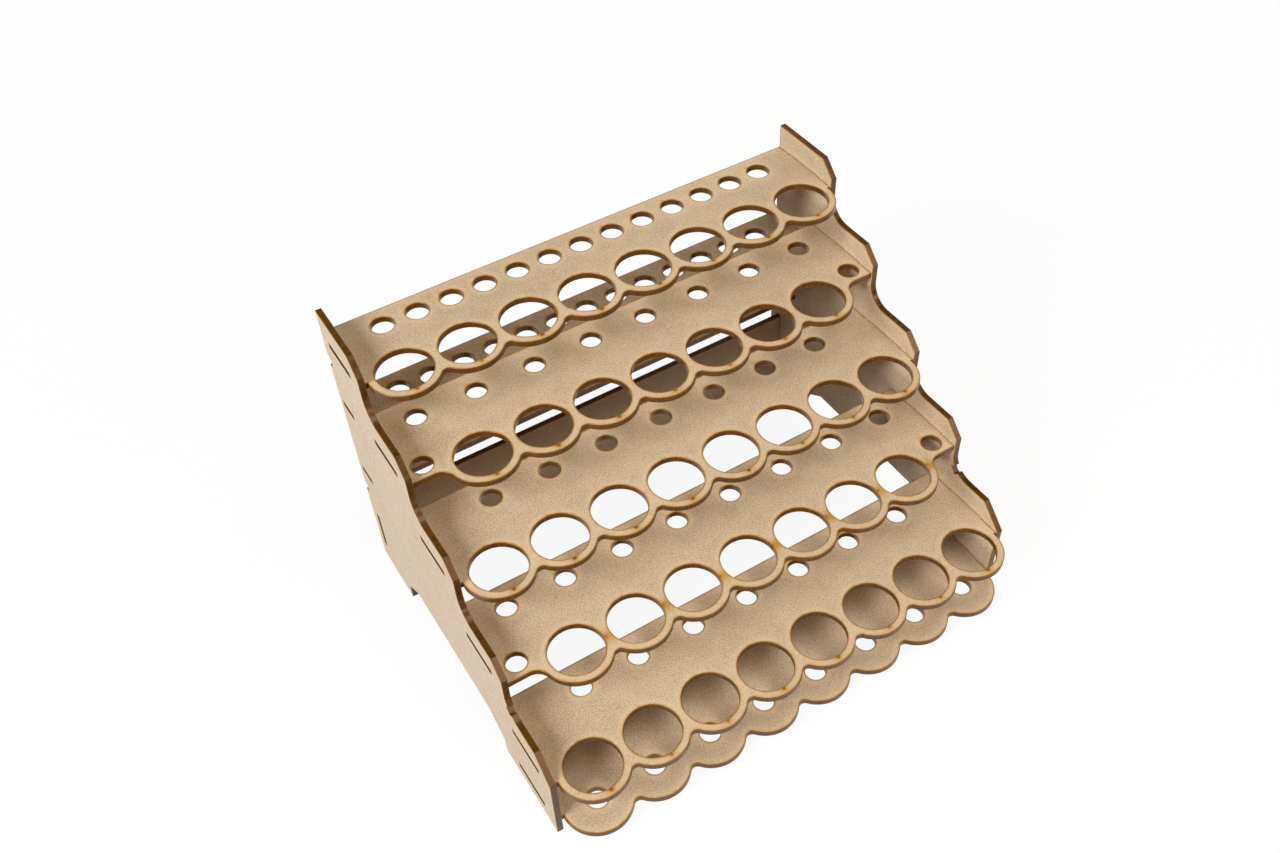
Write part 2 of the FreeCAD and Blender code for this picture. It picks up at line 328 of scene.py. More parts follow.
@dataclass(frozen=True)
class BeamStains:
    """Stains that the beam leaves on the shelves, in millimetres and degrees.

    Attributes:
        start: Burn where the beam went into a ring.
        drift: Smoke around that.
        nick: Burn at the back of a ring.
        smoke: Smoke beside a small hole.
        waist: Smoke in the waist between two rings.
        scar: Burn in that waist.
        soot_and_shade: Darkening of a tab's end: its burnt end, darkened further as painted shade of the slot
            that holds it.
        nick_angle: Direction of the nick.
        ring_sway: How far the stains of a ring sway to either side.
        hole_sway: The same for a small hole.
        ring_strength: Least and greatest strength at a ring.
        hole_strength: The same at a small hole.
        waist_row: Row whose stains lie in the waists.
        waist_across: Least and greatest shift of a waist's stain to the right.
        waist_up: The same towards the rear.
        scar_shift: Place of the scar from there.
    """

    start: Blot = Blot(0.9, 1.2, 0.8, 1.0)
    drift: Blot = Blot(0.9, 2.9, 0.6, 0.0)
    nick: Blot = Blot(0.5, 0.9, 0.6, 0.45)
    smoke: Blot = Blot(0.7, 1.3, 0.8, 0.35)
    waist: Blot = Blot(0.0, 3.4, 1.2, 0.0)
    scar: Blot = Blot(0.0, 0.9, 0.3, 0.8)
    # painted shade: this mark darkens a tab's burnt end further, as the shade of its slot
    soot_and_shade: Blot = Blot(0.0, 0.6, 0.0, 1.4)
    nick_angle: float = 88.0
    ring_sway: float = 3.0
    hole_sway: float = 12.0
    ring_strength: Pair = (0.7, 1.1)
    hole_strength: Pair = (0.5, 1.0)
    waist_row: int = 2
    waist_across: Pair = (-0.6, 0.2)
    waist_up: Pair = (-2.5, -0.8)
    scar_shift: Spot = (-1.2, 0.6)

    def ring(self, sizes: RackSizes, row: int, across: float, chance: np.random.Generator) -> list[Mark]:
        """Stains of one ring: at its front, or on one row in the waist beside it, and at its back.

        Args:
            sizes: Sizes of the rack.
            row: The ring's row.
            across: Its centre across the shelf.
            chance: Source of the uneven stains.

        Returns:
            The stains.
        """
        radius = sizes.ring_bore / 2
        angle = Bore.RING.start + chance.uniform(-self.ring_sway, self.ring_sway)
        strength = chance.uniform(*self.ring_strength)
        if row == self.waist_row:
            right = across + sizes.ring_pitch / 2 + chance.uniform(*self.waist_across)
            up = chance.uniform(*self.waist_up)
            marks = [self.waist.at(right, up, strength),
                     self.scar.at(right + self.scar_shift[0], up + self.scar_shift[1], 1.0)]
        else:
            marks = [blot.beside(across, 0.0, radius, angle, strength) for blot in (self.start, self.drift)]
        back = self.nick_angle + chance.uniform(-self.ring_sway, self.ring_sway)
        return marks + [self.nick.beside(across, 0.0, radius, back, strength)]

    def hole(self, across: float, up: float, diameter: float, chance: np.random.Generator) -> list[Mark]:
        """Smoke that drifted to the rear left of a small hole, as a list of one."""
        angle = Bore.HOLE.start + chance.uniform(-self.hole_sway, self.hole_sway)
        return [self.smoke.beside(across, up, diameter / 2, angle, chance.uniform(*self.hole_strength))]

    def tabs(self, far: float, low: float, high: float) -> list[Mark]:
        """Dark marks on the ends of a tab on each side, which run from low to high at far from the middle:
        burnt ends with painted shade of their slots.
        """
        return [Mark((side * far, low), (side * far, high), self.soot_and_shade.reach, self.soot_and_shade.smoke, self.soot_and_shade.char)
                for side in (-1, 1)]


def between(start: Corner, end: Corner, run: float) -> Array:
    """Points of a straight run, p = start + k / n (end - start), without its end.

    Args:
        start: First point.
        end: Last point, which is left out.
        run: Longest spacing.

    Returns:
        One row for each point.
    """
    a, b = np.array(start[:2]), np.array(end[:2])
    count = max(1, int(np.linalg.norm(b - a) / run))
    return a + (b - a) * (np.arange(count) / count)[:, None]


def around(start: Corner, end: Corner, radius: float, run: float) -> Array:
    """Points of an arc under half a turn, p = centre + radius (cos t, sin t), without its end.

    Args:
        start: First point.
        end: Last point, which is left out.
        radius: Its radius; positive turns left and negative right.
        run: Longest spacing.

    Returns:
        One row for each point.
    """
    a, b = np.array(start[:2]), np.array(end[:2])
    chord = b - a
    rise = math.sqrt(max(radius ** 2 - chord @ chord / 4, 0.0)) * math.copysign(1.0, radius)
    centre = a + chord / 2 + np.array([-chord[1], chord[0]]) / np.linalg.norm(chord) * rise
    first = math.atan2(*(a - centre)[::-1])
    swing = 2 * math.asin(min(np.linalg.norm(chord) / 2 / abs(radius), 1.0)) * math.copysign(1.0, radius)
    count = max(ARC_RUNS, round(abs(swing * radius) / run))
    turn = first + swing * np.arange(count) / count
    return centre + abs(radius) * np.stack([np.cos(turn), np.sin(turn)], axis=1)


def outline(corners: list[Corner], arc_run: float = ARC_RUN) -> Loop:
    """Outer cut of a sheet, corner by corner with a straight run or an arc between them.

    Args:
        corners: (across, up), or (across, up, radius) where the edge that leaves the corner is an arc.
        arc_run: Longest spacing of points on the arcs.

    Returns:
        The loop, counter-clockwise.
    """
    runs = []
    for start, end in zip(corners, corners[1:] + corners[:1]):
        runs.append(around(start, end, start[2], arc_run) if len(start) == 3 else between(start, end, RUN))
    return Loop(np.concatenate(runs))


def bore(across: float, up: float, diameter: float, kind: Bore) -> Loop:
    """Round hole, p = centre + r (cos t, sin t), with t falling from where the beam went in.

    Args:
        across: Its centre across the sheet.
        up: Its centre up the sheet.
        diameter: Its diameter.
        kind: Ring or small hole.

    Returns:
        The loop, clockwise.
    """
    turn = math.radians(kind.start) - 2 * math.pi * np.arange(kind.points) / kind.points
    return Loop(np.array([across, up]) + diameter / 2 * np.stack([np.cos(turn), np.sin(turn)], axis=1))


def slot(left: float, right: float, low: float, high: float) -> Loop:
    """Rectangular hole, its four corners joined by straight runs.

    Args:
        left: Its left end.
        right: Its right end.
        low: Its lower side.
        high: Its upper side.

    Returns:
        The loop, clockwise.
    """
    corners = [(left, low), (left, high), (right, high), (right, low)]
    return Loop(np.concatenate([between(a, b, RUN) for a, b in zip(corners, corners[1:] + corners[:1])]))


def distance_to_cuts(points: Array, loops: list[Loop]) -> Array:
    """Distance from the nearest cut, |p - a - clip((p - a) . d / d . d, 0, 1) d| over all runs a to a + d.

    Args:
        points: Places on the sheet.
        loops: All cuts of the sheet.

    Returns:
        One distance for each point, in millimetres.
    """
    nearest = np.full(len(points), np.inf)
    for loop in loops:
        runs = np.roll(loop.points, -1, axis=0) - loop.points
        away = points[:, None, :] - loop.points[None, :, :]
        share = np.clip((away * runs).sum(axis=2) / (runs * runs).sum(axis=1), 0, 1)
        gap = away - share[..., None] * runs
        nearest = np.minimum(nearest, np.sqrt((gap * gap).sum(axis=2)).min(axis=1))
    return nearest


def inside(points: Array, loops: list[Loop]) -> Array:
    """Whether each point lies on the board: an odd number of runs cross the line to its right.

    Args:
        points: Places on the sheet.
        loops: All cuts of the sheet.

    Returns:
        One truth value for each point.
    """
    crossings = np.zeros(len(points), dtype=int)
    for loop in loops:
        a, b = loop.points, np.roll(loop.points, -1, axis=0)
        y = points[:, 1, None]
        spans = (a[:, 1] > y) != (b[:, 1] > y)
        rise = np.where(b[:, 1] == a[:, 1], 1.0, b[:, 1] - a[:, 1])
        at = a[:, 0] + (y - a[:, 1]) / rise * (b[:, 0] - a[:, 0])
        crossings += (spans & (at > points[:, 0, None])).sum(axis=1)
    return crossings % 2 == 1


@dataclass(frozen=True)
class Finish:
    """What the finishes of faces and of cut walls share.

    Attributes:
        name: Name of its material.
        bump: Strength of its relief.
        relief: Depth of its relief, in metres.
        rough: Roughness where its pattern is darkest and where it is palest.
        gloss: Level of its reflection.
        shine: Colour of its reflection.
    """

    name: str
    bump: float = 0.16
    relief: float = 0.0001
    rough: Pair = (0.62, 0.5)
    gloss: float = 0.3
    shine: Colour = (1.0, 1.0, 1.0)


@dataclass(frozen=True)
class BoardFinish(Finish):
    """Finish of one face of a sheet.

    Attributes:
        board: Colour of the clean face.
        fibre: Colour of its darker fibres.
        speck: Colour of its dark specks.
        painted_highlight_colour: Colour of the painted highlight, a paler band beside a cut.
        amber: Colour that smoke leaves beside a cut.
        line: Colour of the thin burnt line at the cut itself.
        calm: Share of the plain board colour that softens the fibres.
        specks: Strength of the specks.
        painted_highlight: Strength of that painted highlight.
        halo: How far the amber reaches from a cut, in millimetres.
        stain: Strength of the amber.
        burnt: Strength of the burnt line.
    """

    board: Colour = (0.606, 0.478, 0.328)
    fibre: Colour = (0.270, 0.160, 0.080)
    speck: Colour = (0.150, 0.085, 0.045)
    painted_highlight_colour: Colour = (0.790, 0.610, 0.390)
    amber: Colour = (0.450, 0.230, 0.036)
    line: Colour = (0.170, 0.066, 0.006)
    calm: float = 0.32
    specks: float = 0.62
    painted_highlight: float = 0.28
    halo: float = 1.7
    stain: float = 1.0
    burnt: float = 0.9


@dataclass(frozen=True)
class CharFinish(Finish):
    """Finish of the burnt cut walls.

    Attributes:
        tar: Colour of its darkest streaks.
        brown: Colour of its body.
        rust: Colour that some runs lean to.
        ember: Colour of its arrises.
        lean: Strength of the rust.
        glow: Strength of the ember.
        stop: Strength of the dark stops.
        soot_and_shade: Strength of the darkening by char: burn beside the holes, and painted shade on a tab's
            end.
        sooty_and_shaded: Char between which a tab's end turns dull.
    """

    bump: float = 0.25
    relief: float = 0.00006
    rough: Pair = (0.25, 0.34)
    gloss: float = 0.5
    shine: Colour = (1.0, 0.75, 0.62)
    tar: Colour = (0.032, 0.012, 0.002)
    brown: Colour = (0.116, 0.047, 0.005)
    rust: Colour = (0.160, 0.062, 0.012)
    ember: Colour = (0.225, 0.105, 0.015)
    lean: float = 0.35
    glow: float = 0.4
    stop: float = 0.75
    soot_and_shade: float = 0.8
    sooty_and_shaded: Pair = (0.0, 0.6)


DECK = BoardFinish("board_deck")
# painted shade: the lower faces are darker and oranger than the upper ones, so that the light they bounce
# warms the shade inside the rack
UNDER_WARM_BOUNCE = BoardFinish("board_under", board=(0.500, 0.310, 0.135), halo=3.2, painted_highlight=0.7)
PANEL = BoardFinish("board_panel", board=(0.680, 0.540, 0.385), stain=0.75, painted_highlight=0.3, calm=0.4)
# painted sheen: the outer faces are paler and greyer than the inner ones, standing in for the gloss of a face
# seen at a grazing angle
OUTER_PAINTED_SHEEN = BoardFinish("board_outer", board=(0.715, 0.602, 0.466), amber=(0.620, 0.420, 0.150),
                    line=(0.360, 0.200, 0.060), halo=1.1, stain=0.9, painted_highlight=0.25, calm=0.6)
CHAR = CharFinish("burnt_wall")


@dataclass
class Sheet:
    """One piece cut from the board.

    Attributes:
        name: Name of the piece.
        node: Node of the frame that it stands for.
        lie: How it lies.
        origin: Where its drawing's origin is, in millimetres.
        thickness: Thickness of the board.
        loops: All its cuts, the outer one first.
        upper: Finish of the face at its full thickness.
        lower: Finish of the face at its origin.
        marks: Stains on its faces.
    """

    name: str
    node: str
    lie: Lie
    origin: Triple
    thickness: float
    loops: list[Loop]
    upper: BoardFinish
    lower: BoardFinish
    marks: list[Mark] = field(default_factory=list)

    def cut(self, loop: Loop, marks: list[Mark]) -> None:
        """Add a cut and its stains."""
        self.loops.append(loop)
        self.marks += marks

    def profile(self) -> tuple[Array, Array]:
        """Section that is carried along every loop: the upper rim, down the wall, and the lower rim.

        Returns:
            Inset and height of each of its points.
        """
        rim, wall = len(RIM_INSETS), len(WALL_SHARES)
        insets = np.concatenate([RIM_INSETS, np.zeros(wall), RIM_INSETS[::-1]])
        heights = np.concatenate([np.full(rim, self.thickness), self.thickness * WALL_SHARES, np.zeros(rim)])
        return insets, heights

    def inner_points(self) -> Array:
        """Points of an even grid, p = low + (k + 1/2) spacing, that lie on the board and clear of the rims.

        Returns:
            One row for each point.
        """
        low = self.loops[0].points.min(axis=0)
        high = self.loops[0].points.max(axis=0)
        across, up = (np.arange(a + GRID / 2, b, GRID) for a, b in zip(low, high))
        points = np.stack(np.meshgrid(across, up), axis=-1).reshape(-1, 2)
        points = points[inside(points, self.loops)]
        return points[distance_to_cuts(points, self.loops) > RIM_INSETS[0] + GRID_CLEAR]

    def fill(self, rims: list[Array], grid: Array) -> Array:
        """Even triangles on the rims' innermost rows and the grid, where their middle is on the board.

        Args:
            rims: Innermost row of each loop.
            grid: Points inside the face.

        Returns:
            Corners of each triangle, counted through the rims and then the grid.
        """
        points = np.concatenate(rims + [grid])
        edges, first = [], 0
        for rim in rims:
            steps = np.arange(len(rim))
            edges.append(np.stack([first + steps, first + (steps + 1) % len(rim)], axis=1))
            first += len(rim)
        found = delaunay_2d_cdt(points.tolist(), np.concatenate(edges).tolist(), [], 0, TINY)
        if len(found[0]) != len(points):
            raise ValueError(f"the rims of {self.name} cross")
        triangles = np.array([ids[0] for ids in found[3]])[np.array(found[2])]
        return triangles[inside(points[triangles].mean(axis=1), [Loop(rim) for rim in rims])]

    def build(self) -> bpy.types.Object:
        """Make the sheet: its rims and walls are p = loop + inset mitre at the section's heights.

        Returns:
            The new object, which stands for the sheet's node.
        """
        insets, heights = self.profile()
        rows = len(insets)
        flats, levels, quads, paths, turns = [], [], [], [], []
        first = 0
        for loop in self.loops:
            count = len(loop.points)
            flats.append(loop.points[None] + insets[:, None, None] * loop.mitres()[None])
            levels.append(np.repeat(heights, count))
            row, column = np.meshgrid(np.arange(rows - 1), np.arange(count), indexing="ij")
            after = (column + 1) % count
            quad = np.stack([row * count + column, (row + 1) * count + column,
                             (row + 1) * count + after, row * count + after], axis=-1)
            quads.append(first + quad.reshape(-1, 4))
            paths.append(loop.path(heights))
            turns.append(loop.from_corners(rows))
            first += rows * count
        grid = self.inner_points()
        triangles = self.fill([flat[0] for flat in flats], grid)
        starts = np.cumsum([0] + [flat.shape[0] * flat.shape[1] for flat in flats])
        upper = [start + np.arange(flat.shape[1]) for start, flat in zip(starts, flats)]
        lower = [ids + (rows - 1) * len(ids) for ids in upper]
        total = int(starts[-1])
        upper_ids = np.concatenate(upper + [total + np.arange(len(grid))])
        lower_ids = np.concatenate(lower + [total + len(grid) + np.arange(len(grid))])
        flat = np.concatenate([f.reshape(-1, 2) for f in flats] + [grid, grid])
        level = np.concatenate(levels + [np.full(len(grid), self.thickness), np.zeros(len(grid))])
        maps = {"cut_path": np.concatenate(paths), "from_corner": np.concatenate(turns)}
        return self.assemble(flat, level, np.concatenate(quads), maps, upper_ids[triangles],
                             lower_ids[triangles][:, ::-1])

    def stains(self, flat: Array) -> dict[str, Array]:
        """Smoke and char of all marks, each the sum of strength times fade.

        Args:
            flat: Places on the sheet.

        Returns:
            Name of each attribute to its value at each place.
        """
        smoke, char = np.zeros(len(flat)), np.zeros(len(flat))
        for mark in self.marks:
            fade = mark.fade(flat)
            smoke += mark.smoke * fade
            char += mark.char * fade
        return {"smoke": smoke, "char": char}

    def assemble(self, flat: Array, level: Array, quads: Array, maps: dict[str, Array], top: Array,
                 under: Array) -> bpy.types.Object:
        """Put the sheet into a mesh in its place, p = origin + across x + up y + height z.

        Args:
            flat: Across and up of each point.
            level: Height of each point in the thickness.
            quads: Corners of the rims' and walls' faces.
            maps: Name of each map to its pairs at the quads' corners.
            top: Triangles of the upper face.
            under: Triangles of the lower face.

        Returns:
            The new object.
        """
        axes = np.array(self.lie.value, dtype=float)
        place = np.array(self.origin) + flat @ axes[:2] + level[:, None] * axes[2]
        mesh = bpy.data.meshes.new(self.name)
        triangles = np.concatenate([top, under])
        mesh.from_pydata((place * MM).tolist(), [], quads.tolist() + triangles.tolist())
        unique, where = np.unique(np.round(flat, DECIMALS), axis=0, return_inverse=True)
        rim = distance_to_cuts(unique, self.loops)[where.ravel()]
        for name, values in {"rim": rim, **self.stains(flat)}.items():
            attribute = mesh.attributes.new(name, "FLOAT", "POINT")
            attribute.data.foreach_set("value", values.astype(np.float32))
        for name, pairs in maps.items():
            corners = np.concatenate([pairs.reshape(-1, 2), np.full((triangles.size, 2), FAR)])
            mesh.uv_layers.new(name=name).data.foreach_set("uv", corners.astype(np.float32).ravel())
        middle = np.concatenate([level[quads].mean(axis=1), level[triangles].mean(axis=1)])
        slots = np.where(middle > self.thickness - ON_FACE, UPPER, np.where(middle < ON_FACE, LOWER, WALL))
        mesh.polygons.foreach_set("material_index", slots.astype(np.int32))
        mesh.polygons.foreach_set("use_smooth", np.ones(len(slots), dtype=bool))
        mesh.set_sharp_from_angle(angle=math.radians(SMOOTH_TURN))
        mesh.update()
        piece = bpy.data.objects.new(self.name, mesh)
        bpy.context.scene.collection.objects.link(piece)
        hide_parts(self.node)
        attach(piece, "root")
        return piece


class NodeTree:
    """Short way to add and join nodes in a tree, each placed to the right of the last."""

    def __init__(self, tree: bpy.types.NodeTree) -> None:
        """Start on an emptied tree.

        Args:
            tree: The tree, which loses its nodes.
        """
        self.tree = tree
        self.column = 0
        tree.nodes.clear()

    def add(self, kind: str, inputs: dict[str | int, object] | None = None, **settings: object) -> Node:
        """Add a node.

        Args:
            kind: Blender's name for it.
            inputs: Socket to value, or to the socket that feeds it.
            settings: The node's own settings.

        Returns:
            The node.
        """
        node = self.tree.nodes.new(kind)
        node.location = (self.column * NODE_STEP, 0)
        self.column += 1
        for name, value in settings.items():
            setattr(node, name, value)
        for name, value in (inputs or {}).items():
            if isinstance(value, bpy.types.NodeSocket):
                self.tree.links.new(value, node.inputs[name])
            else:
                node.inputs[name].default_value = value
        return node

    def calc(self, operation: str, *values: object, clamp: bool = False) -> Socket:
        """One step of arithmetic on values or sockets."""
        node = self.add("ShaderNodeMath", dict(enumerate(values)), operation=operation, use_clamp=clamp)
        return node.outputs[0]

    def weigh(self, *parts: tuple[Socket, float]) -> Socket:
        """Sum of values, each times its weight.

        Args:
            parts: Each value and its weight.

        Returns:
            The sum.
        """
        total = self.calc("MULTIPLY", *parts[0])
        for part in parts[1:]:
            total = self.calc("ADD", total, self.calc("MULTIPLY", *part))
        return total

    def fade(self, value: Socket, near: object, far: object, start: float = 1.0, end: float = 0.0) -> Socket:
        """Smooth step, start + (end - start) (3 t^2 - 2 t^3), with t = (value - near) / (far - near).

        Args:
            value: What it follows.
            near: Where the step begins.
            far: Where it ends.
            start: Value up to near.
            end: Value from far on.

        Returns:
            The stepped value.
        """
        return self.add("ShaderNodeMapRange", {
            "Value": value, "From Min": near, "From Max": far, "To Min": start, "To Max": end},
            interpolation_type="SMOOTHSTEP").outputs["Result"]

    def blend(self, share: object, first: object, second: object) -> Socket:
        """Mix of two colours."""
        return self.add("ShaderNodeMix", {0: share, 6: first, 7: second}, data_type="RGBA").outputs[2]

    def lay(self, under: Socket, mask: Socket, strength: float, colour: Colour) -> Socket:
        """A plain colour laid over another at mask times strength."""
        return self.blend(self.calc("MULTIPLY", mask, strength), under, (*colour, 1.0))

    def noise(self, vector: Socket, scale: float, detail: float, rough: float) -> Socket:
        """Noise between 0 and 1."""
        return self.add("ShaderNodeTexNoise", {
            "Vector": vector, "Scale": scale, "Detail": detail, "Roughness": rough}).outputs["Fac"]

    def stretch(self, vector: Socket, scale: Triple, turn: Triple = (0.0, 0.0, 0.0)) -> Socket:
        """Coordinates turned, in degrees, and stretched."""
        return self.add("ShaderNodeMapping", {
            "Vector": vector, "Rotation": [math.radians(a) for a in turn], "Scale": scale}).outputs["Vector"]

    def attribute(self, name: str) -> Socket:
        """Number that each point of the mesh carries."""
        return self.add("ShaderNodeAttribute", attribute_name=name).outputs["Fac"]

    def put(self, node: Node, **values: Socket) -> bpy.types.NodeTree:
        """Join values to a group's output node.

        Args:
            node: The output node.
            values: Its socket to the value that feeds it.

        Returns:
            The group.
        """
        for name, value in values.items():
            self.tree.links.new(value, node.inputs[name])
        return self.tree


def new_group(name: str, inputs: dict[str, object], outputs: list[str]) -> tuple[NodeTree, Node, Node]:
    """Shader group with named sockets.

    Args:
        name: Its name.
        inputs: Name to default: a number, or a vector of three.
        outputs: Names of the numbers that it puts out.

    Returns:
        The group's tree, and its input and output nodes.
    """
    group = bpy.data.node_groups.new(name, "ShaderNodeTree")
    tree = NodeTree(group)
    for socket, value in inputs.items():
        kind = "NodeSocketVector" if isinstance(value, tuple) else "NodeSocketFloat"
        group.interface.new_socket(socket, in_out="INPUT", socket_type=kind).default_value = value
    for socket in outputs:
        group.interface.new_socket(socket, in_out="OUTPUT", socket_type="NodeSocketFloat")
    return tree, tree.add("NodeGroupInput"), tree.add("NodeGroupOutput")


@dataclass(frozen=True)
class PressedFibre:
    """Grain of the pressed board, in repeats for each millimetre.

    Attributes:
        speckle: Scale of the fine speckle.
        hairs: Scales and turn in degrees of each set of short hairs.
        clouds: Scale of the clouds.
        drift: Scale of the broadest changes.
        fine: Weights of speckle and hairs in the fine grain.
        slow: Weights of clouds and drift in the slow grain.
        whole: Weights of the fine and the slow grain in the tone.
        tone: Values at which the tone is darkest and palest.
        cells: Scale of the cells, of which each may hold a speck.
        speck: Radius of the largest speck, in cells.
        rare: Power that keeps most specks small.
        core: Share of a speck's radius that is fully dark.
        dip: How far a speck lowers the relief.
    """

    speckle: float = 1.5
    hairs: tuple[tuple[Triple, Triple], ...] = (((0.45, 3.2, 3.2), (0.0, 0.0, 24.0)),
                                              ((0.5, 3.4, 3.0), (0.0, 35.0, -52.0)),
                                              ((3.0, 0.5, 3.4), (40.0, 0.0, 78.0)))
    clouds: float = 0.11
    drift: float = 0.022
    fine: Pair = (0.6, 0.4)
    slow: Pair = (0.6, 0.4)
    whole: Pair = (0.87, 0.13)
    tone: Pair = (0.44, 0.6)
    cells: float = 0.42
    speck: float = 0.24
    rare: float = 6.0
    core: float = 0.45
    dip: float = 0.3

    def group(self) -> bpy.types.NodeTree:
        """Make the group: a smooth step of weighted noises, and round specks of uneven size.

        Returns:
            The group, which takes places in millimetres.
        """
        tree, given, put = new_group("pressed_fibre", {"Place": (0.0, 0.0, 0.0)}, ["Tone", "Speck", "Height"])
        place = given.outputs["Place"]
        grain = tree.noise(place, self.speckle, detail=2.0, rough=0.75)
        hairs = [tree.noise(tree.stretch(place, scale, turn), 1.0, detail=2.0, rough=0.6)
                 for scale, turn in self.hairs]
        crossed = hairs[0]
        for hair in hairs[1:]:
            crossed = tree.calc("MAXIMUM", crossed, hair)
        clouds = tree.noise(place, self.clouds, detail=3.0, rough=0.55)
        drift = tree.noise(place, self.drift, detail=1.0, rough=0.5)
        fine = tree.weigh((grain, self.fine[0]), (crossed, self.fine[1]))
        slow = tree.weigh((clouds, self.slow[0]), (drift, self.slow[1]))
        tone = tree.fade(tree.weigh((fine, self.whole[0]), (slow, self.whole[1])), *self.tone, 0.0, 1.0)
        cells = tree.add("ShaderNodeTexVoronoi", {"Vector": place, "Scale": self.cells, "Randomness": 1.0})
        own = tree.add("ShaderNodeSeparateColor", {"Color": cells.outputs["Color"]}).outputs["Red"]
        size = tree.calc("MULTIPLY", tree.calc("POWER", own, self.rare), self.speck)
        speck = tree.fade(cells.outputs["Distance"], tree.calc("MULTIPLY", size, self.core), size)
        height = tree.calc("ADD", fine, tree.calc("MULTIPLY", speck, -self.dip))
        return tree.put(put, Tone=tone, Speck=speck, Height=height)


@dataclass(frozen=True)
class RimScorch:
    """Burn on a face beside a cut: a dark line and an amber halo of uneven width; further out, a faint paler
    band that is a painted highlight.

    Attributes:
        uneven: Scale of the slow changes in its width, in repeats for each millimetre.
        ragged: Scale of the fine ones.
        shift: Weights of the slow and the fine changes.
        least: What the distance from the cut is times at the least.
        line: Where the dark line begins to fade and where it ends, in millimetres.
        dots: Char at which a stain begins to darken and at which it is full.
        curve: Power of the halo's fade.
        ash: Weight of the fine changes in a stain's smoke.
        body: Share of the smoke that doesn't change.
        painted_highlight: Where the painted highlight begins to fade and where it ends, in millimetres.
    """

    uneven: float = 0.35
    ragged: float = 2.4
    shift: Pair = (1.5, 0.5)
    least: float = 0.15
    line: Pair = (0.08, 0.62)
    dots: Pair = (0.25, 0.8)
    curve: float = 1.25
    ash: float = 0.9
    body: float = 0.5
    painted_highlight: Pair = (0.4, 4.5)

    def group(self) -> bpy.types.NodeTree:
        """Make the group: smooth steps of the distance from the cut, which is made uneven by noise.

        Returns:
            The group, which takes places and distances in millimetres.
        """
        tree, given, put = new_group(
            "rim_scorch", {"Place": (0.0, 0.0, 0.0), "Rim": 0.0, "Smoke": 0.0, "Char": 0.0, "Halo": 1.9},
            ["Line", "Amber", "Veil"])
        place, rim = given.outputs["Place"], given.outputs["Rim"]
        uneven = tree.noise(place, self.uneven, detail=3.0, rough=0.6)
        ragged = tree.noise(place, self.ragged, detail=2.0, rough=0.6)
        shift = tree.weigh((uneven, self.shift[0]), (ragged, self.shift[1]))
        moved = tree.calc("MULTIPLY", rim, tree.calc("ADD", shift, self.least))
        dots = tree.fade(given.outputs["Char"], *self.dots, 0.0, 1.0)
        line = tree.calc("MAXIMUM", tree.fade(moved, *self.line), dots)
        near = tree.calc("POWER", tree.fade(moved, 0.0, given.outputs["Halo"]), self.curve)
        cloud = tree.calc("ADD", tree.calc("MULTIPLY", ragged, self.ash), self.body)
        smoked = tree.calc("MULTIPLY", given.outputs["Smoke"], cloud)
        amber = tree.calc("ADD", near, smoked, clamp=True)
        # the last output is a painted highlight, a paler band beside the cut
        return tree.put(put, Line=line, Amber=amber, Veil=tree.fade(rim, *self.painted_highlight))


@dataclass(frozen=True)
class WallBurn:
    """Burn of a cut wall: streaks, a tarry core, warmer arrises, dark stops and a tone for each run.

    Attributes:
        streaks: Scales along and down the wall of the streaks, in repeats for each millimetre.
        fibres: The same for the fibres.
        clouds: Scale of the clouds.
        mix: Weights of streaks, fibres and clouds.
        tar: Values at which the wall is tarry and at which it is clear of tar.
        arris: Where the warm arris begins to fade and where it ends, in millimetres from a face.
        start: The same for the dark place where the beam went in.
        corner: The same for the dark stop at a sharp corner.
        ridge: Weight of the fibres in the relief.
    """

    streaks: Pair = (2.6, 0.35)
    fibres: Pair = (0.5, 4.5)
    clouds: float = 0.16
    mix: Triple = (0.4, 0.35, 0.25)
    tar: Pair = (0.36, 0.64)
    arris: Pair = (0.1, 0.7)
    start: Pair = (0.15, 0.55)
    corner: Pair = (0.1, 0.6)
    ridge: float = 0.6

    def group(self) -> bpy.types.NodeTree:
        """Make the group: weighted noises on the way along the cut, and smooth steps of the distances on it.

        Returns:
            The group, which takes ways, places and the thickness in millimetres.
        """
        tree, given, put = new_group(
            "burnt_wall",
            {"Way": (0.0, 0.0, 0.0), "Turn": (0.0, 0.0, 0.0), "Place": (0.0, 0.0, 0.0), "Thickness": 3.0},
            ["Tar", "Arris", "Stop", "Height", "Run"])
        way = given.outputs["Way"]
        streak = tree.noise(tree.stretch(way, (*self.streaks, 1.0)), 1.0, detail=3.0, rough=0.6)
        fibres = tree.noise(tree.stretch(way, (*self.fibres, 1.0)), 1.0, detail=3.0, rough=0.65)
        clouds = tree.noise(given.outputs["Place"], self.clouds, detail=2.0, rough=0.5)
        mixed = tree.weigh((streak, self.mix[0]), (fibres, self.mix[1]), (clouds, self.mix[2]))
        split = tree.add("ShaderNodeSeparateXYZ", {"Vector": way})
        top = tree.calc("SUBTRACT", given.outputs["Thickness"], split.outputs["Y"])
        edge = tree.calc("MINIMUM", split.outputs["Y"], top)
        start = tree.fade(tree.calc("ABSOLUTE", split.outputs["X"]), *self.start)
        turn = tree.add("ShaderNodeSeparateXYZ", {"Vector": given.outputs["Turn"]})
        corner = tree.fade(tree.calc("MINIMUM", turn.outputs["X"], turn.outputs["Y"]), *self.corner)
        length = tree.calc("ROUND", tree.calc("ADD", turn.outputs["X"], turn.outputs["Y"]))
        own = tree.add("ShaderNodeTexWhiteNoise", {"W": length}, noise_dimensions="1D")
        height = tree.calc("ADD", streak, tree.calc("MULTIPLY", fibres, self.ridge))
        return tree.put(put, Tar=tree.fade(mixed, *self.tar, 0.0, 1.0), Arris=tree.fade(edge, *self.arris),
                        Stop=tree.calc("MAXIMUM", start, corner), Height=height, Run=own.outputs["Value"])


